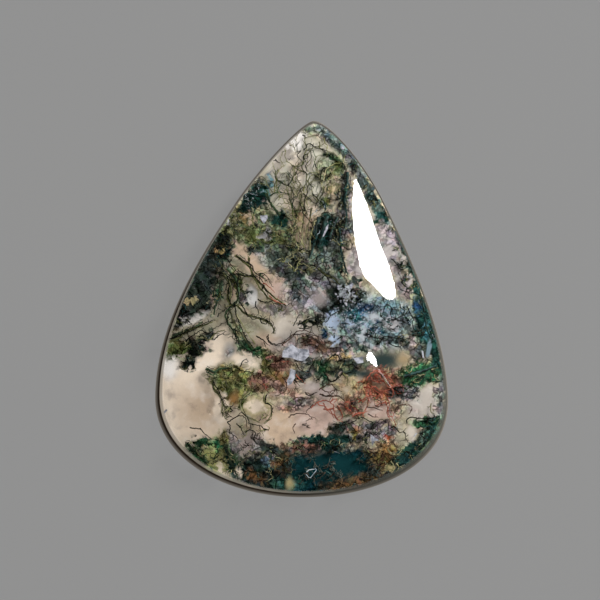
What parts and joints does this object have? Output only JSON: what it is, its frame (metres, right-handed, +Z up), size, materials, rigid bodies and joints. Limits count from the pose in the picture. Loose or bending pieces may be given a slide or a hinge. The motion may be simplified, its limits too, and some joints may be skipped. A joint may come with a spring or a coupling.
{
  "type": "moss agate cabochon",
  "caption": "Pear-shaped polished moss agate cabochon with a low dome, a short girdle and a flat bevelled back, for setting in a bezel or laying flat.",
  "frame": {"origin": "on the flat back, in the middle of the stone's length and width", "axes": "+Y along the stone's length towards the narrow tip, +X across its width, +Z up out of the dome"},
  "size_m": [0.028, 0.036, 0.006],
  "materials": {
    "moss_agate": "high polish, translucent milky chalcedony with green, teal and rust moss inclusions"
  },
  "bodies": {
    "root": {"cabochon": "moss_agate"}
  },
  "joints": []
}
